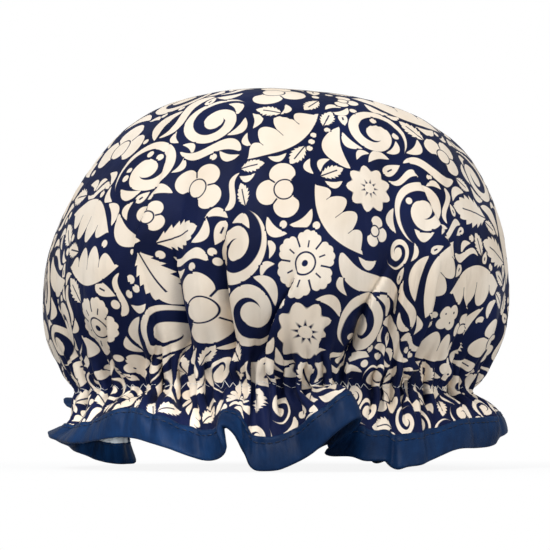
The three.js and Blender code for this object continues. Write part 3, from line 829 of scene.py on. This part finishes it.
def satinWeave(tree, shader, vector, threads, strength):  # fine ribs of the weave and soft handling creases
    drawn = addNode(tree, "Attribute", attribute_name="clothPlace").outputs["Vector"]
    along = addNode(tree, "SeparateXYZ")
    tree.links.new(drawn, along.inputs[0])
    near = addNode(tree, "MapRange", interpolation_type="SMOOTHSTEP")  # pulled wrinkles near the elastic
    near.inputs[1].default_value, near.inputs[2].default_value = crownLength - 105, crownLength - 20
    tree.links.new(along.outputs[2], near.inputs[0])
    wrinkle = textureOn(tree, "TexNoise", stretched(tree, drawn, (17, 17, 0.028)), Scale=1.0, Detail=2.0,
                        Roughness=0.45)
    crease = textureOn(tree, "TexNoise", vector, Scale=threads * 0.28, Detail=3.0)
    weave = textureOn(tree, "TexWave", vector, Scale=threads, Distortion=0.6, bands_direction="DIAGONAL")
    pulled = bumpFrom(tree, calc(tree, "MULTIPLY", wrinkle, near.outputs[0]), 0.8, 0.0030)
    soft = bumpFrom(tree, crease, 0.3, 0.0010, pulled)
    tree.links.new(bumpFrom(tree, weave, strength, 0.00006, soft), shader.inputs["Normal"])


def printedSatinMaterial():
    material, tree, shader = newMaterial("printedSatin")
    cut = addNode(tree, "Attribute", attribute_name="cut").outputs["Vector"]
    satinWeave(tree, shader, cut, 0.55, 0.35)
    tone = textureOn(tree, "TexNoise", cut, Scale=0.035, Detail=2.0)
    ground = rampFrom(tree, tone, (0.0034, 0.0066, 0.032), (0.0066, 0.0126, 0.057), 0.35, 0.65)
    ink = rampFrom(tree, tone, (0.84, 0.71, 0.56), (0.93, 0.82, 0.68), 0.35, 0.65)
    colour = addNode(tree, "Mix", data_type="RGBA")
    tree.links.new(printMask(tree), colour.inputs[0])
    tree.links.new(ground, colour.inputs[6])
    tree.links.new(ink, colour.inputs[7])
    tree.links.new(colour.outputs[2], shader.inputs["Base Color"])
    shader.inputs["Roughness"].default_value = 0.55
    shader.inputs["Specular IOR Level"].default_value = 0.08
    shader.inputs["Sheen Weight"].default_value = 0.01
    return material


def plainSatinMaterial():
    material, tree, shader = newMaterial("bindingSatin")
    strip = addNode(tree, "Attribute", attribute_name="strip").outputs["Vector"]
    tone = textureOn(tree, "TexNoise", strip, Scale=0.09, Detail=4.0, Roughness=0.6)
    blue = rampFrom(tree, tone, (0.0022, 0.0140, 0.050), (0.0050, 0.0300, 0.098), 0.3, 0.72)
    tree.links.new(blue, shader.inputs["Base Color"])
    pucker = textureOn(tree, "TexNoise", stretched(tree, strip, (0.17, 0.17, 0.06)), Scale=1.0, Detail=2.0)
    weave = textureOn(tree, "TexWave", strip, Scale=0.6, Distortion=1.0, bands_direction="DIAGONAL")
    soft = bumpFrom(tree, pucker, 0.6, 0.0016)
    tree.links.new(bumpFrom(tree, weave, 0.4, 0.00007, soft), shader.inputs["Normal"])
    shader.inputs["Roughness"].default_value = 0.48
    shader.inputs["Specular IOR Level"].default_value = 0.13
    return material


def filmMaterial():
    material, tree, shader = newMaterial("liningFilm")
    where = addNode(tree, "TexCoord").outputs["Object"]
    crinkle = textureOn(tree, "TexNoise", where, Scale=140.0, Detail=5.0, Roughness=0.62)
    tree.links.new(bumpFrom(tree, crinkle, 0.5, 0.0008), shader.inputs["Normal"])
    # the colour follows the crinkle height: painted shade, darker in the crinkles' hollows, laid over the
    # film's own pale white
    white = rampFrom(tree, crinkle, (0.62, 0.68, 0.72), (0.80, 0.85, 0.88))
    tree.links.new(white, shader.inputs["Base Color"])
    shader.inputs["Roughness"].default_value = 0.33
    return material


def threadMaterial(name, dark, light, scale, rough):
    material, tree, shader = newMaterial(name)
    where = addNode(tree, "TexCoord").outputs["Object"]
    twist = textureOn(tree, "TexWave", where, Scale=scale, Distortion=2.0, Detail=1.0,
                      bands_direction="DIAGONAL")
    # the colour follows the twist height: painted shade, darker in the grooves the bump sinks, laid over the
    # thread's or braid's own colour
    tree.links.new(rampFrom(tree, twist, dark, light), shader.inputs["Base Color"])
    tree.links.new(bumpFrom(tree, twist, 0.4, 0.0001), shader.inputs["Normal"])
    shader.inputs["Roughness"].default_value = rough
    return material


printedSatin = printedSatinMaterial()
bindingSatin = plainSatinMaterial()
liningFilm = filmMaterial()
whiteThread = threadMaterial("whiteThread", (0.66, 0.65, 0.62), (0.86, 0.85, 0.82), 700.0, 0.6)
navyThread = threadMaterial("navyThread", (0.002, 0.006, 0.022), (0.006, 0.018, 0.055), 700.0, 0.5)
elasticKnit = threadMaterial("elasticKnit", (0.60, 0.59, 0.56), (0.84, 0.83, 0.80), 260.0, 0.8)

finishPiece(printedCover, "outer_cover", printedSatin)
print("cloth circle", round(2 * hemQ), "mm across")


# Waterproof lining: inside the cover all the way, passing within the elastic
lining = dict(gap=1.2, frillGap=0.95, bandInset=9.4, frillFade=9, crownFade=15)


def makeLining():
    rows = []
    for (kind, where, count, q), row in zip(coverRows, coverIndex):
        away = max(abs(q - crownLength - bandLength / 2) - bandLength / 2, 0)
        fade = lining["frillFade"] if kind == "frill" else lining["crownFade"]
        inset = lining["bandInset"] * math.exp(-(away / fade) ** 2)
        if kind == "frill" and away > lining["frillFade"]:  # lies along the gathers down to the hem
            rows.append(onCloth(q, -lining["frillGap"] - inset))
            continue
        turned, up = np.arange(count) / count * tau, np.full(count, crownLength - q)
        below = outwards(turned, np.maximum(up, 0)) * creaseShift(turned, up)[2][:, None]
        rows.append(coarsePoints[row] - coarseNormals[row] * (lining["gap"] + inset) - below)
    return rowsMesh("liningFilmCap", rows, coarsePoints[-1] - (0, 0, lining["gap"]))[0]


liningCap = makeLining()
finishPiece(liningCap, "waterproof_lining", liningFilm)
print("lining", len(liningCap.data.polygons), "faces")


# Elastic: a flat braided strip once round, its ends lapped at the back
elastic = dict(width=8.0, thick=1.0, lap=12.0, lapGap=0.15, lapAngle=190.0, ribs=5, ribDepth=0.12, steps=420)


def makeElastic():
    half = elastic["lap"] / 2 / form["elasticRadius"]
    start = math.radians(elastic["lapAngle"]) - half
    points, faces = [], []
    across = 2 * elastic["ribs"] + 1
    middle = (form["bandTopZ"] + form["bandBottomZ"]) / 2
    for i in range(elastic["steps"] + 1):
        run = i / elastic["steps"] * (tau + 2 * half)
        tuck = (elastic["thick"] + elastic["lapGap"]) * float(np.clip(3 - run / half, 0, 1))
        angle = start + run
        for side in (1, -1):
            for j in range(across):
                height = (j / (across - 1) - 0.5) * elastic["width"] * side
                rib = elastic["ribDepth"] if j % 2 else 0
                r = form["elasticRadius"] - tuck + side * (elastic["thick"] / 2 - rib)
                points.append((r * math.sin(angle), -r * math.cos(angle), middle + height))
    ring = 2 * across
    for i in range(elastic["steps"]):
        for j in range(ring):
            k = (j + 1) % ring
            faces.append((i * ring + j, (i + 1) * ring + j, (i + 1) * ring + k, i * ring + k))
    last = elastic["steps"] * ring
    faces.append(tuple(range(ring)))
    faces.append(tuple(last + j for j in reversed(range(ring))))
    return meshFrom("elasticStrip", points, faces)


elasticStrip = makeElastic()
finishPiece(elasticStrip, "elastic_band", elasticKnit)


# Stitches: each a short round thread with tapered ends
def stitchMesh(name, paths, outs, radius, sides=5):
    points, faces = [], []
    turn = np.arange(sides) / sides * tau
    for path, out in zip(paths, outs):
        along = np.gradient(path, axis=0)
        along /= np.linalg.norm(along, axis=1)[:, None]
        cross = np.cross(along, out)
        cross /= np.linalg.norm(cross, axis=1)[:, None]
        up = np.cross(cross, along)
        first = len(points)
        thick = radius * np.sin(np.linspace(0.2, math.pi - 0.2, len(path))) ** 0.35
        for p, u, c, t in zip(path, up, cross, thick):
            points.extend(p + t * (np.cos(turn)[:, None] * u + np.sin(turn)[:, None] * c))
        for i in range(len(path) - 1):
            for j in range(sides):
                k = (j + 1) % sides
                faces.append((first + i * sides + j, first + i * sides + k,
                              first + (i + 1) * sides + k, first + (i + 1) * sides + j))
        faces.append(tuple(first + j for j in reversed(range(sides))))
        faces.append(tuple(first + (len(path) - 1) * sides + j for j in range(sides)))
    return meshFrom(name, np.array(points), faces)


def seamStitches(row, normal, length, gap, samples=5, dip=0.22):  # stitches along a closed row
    closed = np.vstack([row, row[:1]])
    run = np.concatenate([[0], np.cumsum(np.linalg.norm(np.diff(closed, axis=0), axis=1))])
    count = int(run[-1] / (length + gap))
    paths, outs = [], []
    for i in range(count):
        begin = i * run[-1] / count
        places = np.interp(begin + np.linspace(0, length, samples), run, np.arange(len(run)))
        path, out = alongRow(row, places), alongRow(normal, places)
        sink = dip * (1 - np.sin(np.linspace(0, math.pi, samples)))
        paths.append(path - out * sink[:, None])
        outs.append(out)
    return paths, outs


# White zigzag through the elastic, over the gathers outside and on the lining inside
zigzag = dict(count=170, width=2.8, radius=0.16, sink=-0.06, stray=0.1, underGap=0.5)


def zigzagPaths(inside):
    middle = crownLength + bandLength / 2
    paths, outs = [], []
    sunk = zigzag["sink"] + zigzag["stray"] * np.sin(37 * rowAngle) * np.sin(11 * rowAngle + 1)
    low, high = (onCloth(middle + s * zigzag["width"] / 2, sunk) for s in (1, -1))
    if inside:
        side = low * (1, 1, 0) / np.linalg.norm(low[:, :2], axis=1)[:, None]
        inwards = side * (lining["bandInset"] + lining["gap"] + zigzag["underGap"])
        low, high = low - inwards, high - inwards
    for i in range(zigzag["count"] * 2):
        t = np.linspace(0.02, 0.98, 5)
        places = (i + t) / (zigzag["count"] * 2) * rowCount
        t = t[:, None]
        if i % 2:
            t = 1 - t
        path = alongRow(low, places) * (1 - t) + alongRow(high, places) * t
        out = path * (1, 1, 0)
        out /= np.linalg.norm(out, axis=1)[:, None] * (-1 if inside else 1)
        paths.append(path)
        outs.append(out)
    return paths, outs


zigzagOver = stitchMesh("zigzagOver", *zigzagPaths(False), zigzag["radius"])
finishPiece(zigzagOver, "elastic_zigzag_thread", whiteThread)
zigzagUnder = stitchMesh("zigzagUnder", *zigzagPaths(True), zigzag["radius"])
finishPiece(zigzagUnder, "elastic_bobbin_thread", whiteThread)


# A small bar of zigzag over the elastic's lap
tack = dict(stitches=10, step=0.5, halfWidth=1.3, radius=0.24, gap=0.5)


def makeTack():
    r = form["elasticRadius"] - elastic["thick"] * 1.5 - tack["gap"]
    middle = (form["bandTopZ"] + form["bandBottomZ"]) / 2
    paths, outs = [], []
    for i in range(tack["stitches"]):
        z = middle + (i - (tack["stitches"] - 1) / 2) * tack["step"]
        t = np.linspace(-1, 1, 5) * (tack["halfWidth"] if i % 2 else -tack["halfWidth"])
        turn = math.radians(elastic["lapAngle"]) + t / r
        rise = tack["step"] / 2 * np.linspace(0, 1, 5)
        paths.append(np.stack([r * np.sin(turn), -r * np.cos(turn), z + rise], -1))
        outs.append(-np.stack([np.sin(turn), -np.cos(turn), 0 * turn], -1))
    return stitchMesh("lapTack", paths, outs, tack["radius"])


lapTack = makeTack()
finishPiece(lapTack, "elastic_join_tack", whiteThread)
print("elastic, zigzag and tack made")


# Hem binding: a satin strip folded over the hem, puckered along its stitching
binding = dict(
    depth=13.5, stitch=2.9, inner=-1.8,  # flap, stitching below its edge, inner flap off the cloth
    outer=[  # down from the edge, off the cloth, share of the pucker
        (0.0, 0.02, 0), (0.05, 0.36, 0.2), (1.0, 0.5, 0.8), (2.0, 0.42, 1.0), (2.9, 0.2, 0.3),
        (3.8, 0.42, 1.2), (5.4, 0.58, 1.5), (7.4, 0.62, 1.3), (9.4, 0.62, 1.0), (11.4, 0.6, 0.7),
        (13.2, 0.5, 0.4),
    ],
    fold=[(0.3, 0.3), (0.5, -0.1), (0.55, -0.5), (0.45, -0.95), (0.2, -1.3)],  # past the hem, off the cloth
    flap=[1.0, 3.0, 5.0, 7.0, 8.6, 9.9, 11.4], flapEdge=(11.5, -1.0),  # up from the hem, on the inside
    pucker=0.2, innerPucker=0.12, stitchLength=2.4, stitchGap=0.8, threadRadius=0.24, threadOver=0.46,
    threadUnder=-2.05,
)


def makeBinding():
    a = rowAngle
    pucker = (0.5 * np.sin(97 * a + 2 * np.sin(5 * a)) + 0.5 * np.sin(61 * a + 3 * np.sin(7 * a + 1)))
    rows = []
    top = hemQ - binding["depth"]
    for down, offset, share in binding["outer"]:
        rows.append(onCloth(top + down, offset + binding["pucker"] * share * pucker))
    for past, offset in binding["fold"]:
        rows.append(onCloth(hemQ + past, offset))
    for up in binding["flap"]:
        rows.append(onCloth(hemQ - up, binding["inner"] - binding["innerPucker"] * pucker))
    rows.append(onCloth(hemQ - binding["flapEdge"][0], binding["flapEdge"][1]))
    strip, numbered = rowsMesh("hemBindingStrip", rows)
    hemRow = rows[len(binding["outer"])]
    run = np.concatenate([[0], np.cumsum(np.linalg.norm(np.diff(hemRow, axis=0), axis=1))])
    place = np.zeros((len(strip.data.vertices), 3))
    for i, row in enumerate(numbered):
        down = np.linalg.norm(rows[i] - rows[i - 1], axis=1).mean() if i else 0
        place[row] = np.stack([np.cos(rowAngle) * run[-1] / tau, np.sin(rowAngle) * run[-1] / tau,
                               place[numbered[i - 1][0], 2] + down + 0 * run if i else 0 * run], -1)
    layer = strip.data.attributes.new("strip", "FLOAT_VECTOR", "POINT")  # along and across the tape, in mm
    layer.data.foreach_set("vector", place.ravel())
    return strip


hemStrip = makeBinding()
finishPiece(hemStrip, "hem_binding", bindingSatin)

stitchQ = hemQ - binding["depth"] + binding["stitch"]
seams = [("bindingTopStitches", "binding_top_thread", binding["threadOver"], 1.0),
         ("bindingUnderStitches", "binding_bobbin_thread", binding["threadUnder"], -1.0)]
for name, node, offset, out in seams:
    paths = seamStitches(onCloth(stitchQ, offset), onCloth(stitchQ, out) - onCloth(stitchQ, 0.0),
                         binding["stitchLength"], binding["stitchGap"])
    finishPiece(stitchMesh(name, *paths, binding["threadRadius"]), node, navyThread)
print("binding and stitches made")


# Stage: pale floor, white surround, soft studio light, camera at the photo's low view
def makeFloor():
    bpy.ops.object.select_all(action="DESELECT")
    bpy.ops.mesh.primitive_plane_add(size=6, location=(0, 0, 0))
    floor = bpy.context.object
    floor.name = "floor"
    material, tree, shader = newMaterial("paleFloor")
    shader.inputs["Base Color"].default_value = (0.50, 0.50, 0.50, 1)  # what the cap receives from below
    shader.inputs["Roughness"].default_value = 0.9
    shader.inputs["Specular IOR Level"].default_value = 0
    seen = addNode(tree, "BsdfDiffuse", Color=(0.96, 0.96, 0.96, 1))
    white = addNode(tree, "Emission", Color=(1, 1, 1, 1), Strength=1.0)
    where = addNode(tree, "TexCoord")
    reach = addNode(tree, "VectorMath", operation="LENGTH")
    tree.links.new(where.outputs["Object"], reach.inputs[0])
    fade = addNode(tree, "MapRange")
    fade.inputs[1].default_value, fade.inputs[2].default_value = 0.11, 0.30
    fade.inputs[3].default_value, fade.inputs[4].default_value = 0.90, 1.0
    tree.links.new(reach.outputs["Value"], fade.inputs[0])
    ground = addNode(tree, "MixShader")
    tree.links.new(fade.outputs[0], ground.inputs[0])
    tree.links.new(seen.outputs[0], ground.inputs[1])
    tree.links.new(white.outputs[0], ground.inputs[2])
    path = addNode(tree, "LightPath")
    both = addNode(tree, "MixShader")
    tree.links.new(path.outputs["Is Camera Ray"], both.inputs[0])
    tree.links.new(shader.outputs[0], both.inputs[1])
    tree.links.new(ground.outputs[0], both.inputs[2])
    tree.links.new(both.outputs[0], tree.nodes["Material Output"].inputs[0])
    floor.data.materials.append(material)


def makeSurround():
    world = bpy.data.worlds.new("surround")
    bpy.context.scene.world = world
    world.use_nodes = True
    tree = world.node_tree
    light = tree.nodes["Background"]
    light.inputs["Color"].default_value = (0.92, 0.97, 1.05, 1)
    light.inputs["Strength"].default_value = 0.50
    seen = tree.nodes.new("ShaderNodeBackground")
    seen.inputs["Color"].default_value = (1, 1, 1, 1)
    path = tree.nodes.new("ShaderNodeLightPath")
    mix = tree.nodes.new("ShaderNodeMixShader")
    tree.links.new(path.outputs["Is Camera Ray"], mix.inputs[0])
    tree.links.new(light.outputs[0], mix.inputs[1])
    tree.links.new(seen.outputs[0], mix.inputs[2])
    tree.links.new(mix.outputs[0], tree.nodes["World Output"].inputs[0])


def softLight(name, spot, target, size, power, spread=math.pi):
    data = bpy.data.lights.new(name, "AREA")
    data.shape = "RECTANGLE"
    data.size, data.size_y = size
    data.energy = power
    data.spread = spread
    lamp = bpy.data.objects.new(name, data)
    bpy.context.scene.collection.objects.link(lamp)
    lamp.location = spot
    lamp.rotation_euler = (Vector(target) - Vector(spot)).to_track_quat("-Z", "Y").to_euler()


makeFloor()
makeSurround()
softLight("keyLight", (-0.48, -0.80, 1.0), (0, 0, 0.1), (0.35, 0.35), 9.0)
softLight("fillLight", (0.75, -0.95, 0.45), (0, 0, 0.08), (0.5, 0.7), 4.4)
softLight("lowLight", (0.0, -0.78, 0.013), (-0.09, 0.05, 0.013), (0.1, 0.02), 0.012, 0.10)

shot = dict(lens=85, sensor=36, spot=(0, -0.650, 0.012), lookUp=7.36)  # millimetres, metres, degrees
cam = bpy.data.cameras.new("camera")
cam.lens = shot["lens"]
cam.sensor_width = shot["sensor"]
camera = bpy.data.objects.new("camera", cam)
bpy.context.scene.collection.objects.link(camera)
camera.location = shot["spot"]
camera.rotation_euler = (math.radians(90 + shot["lookUp"]), 0, 0)
bpy.context.scene.camera = camera

bpy.context.scene.view_settings.view_transform = "Standard"
print("stage set")
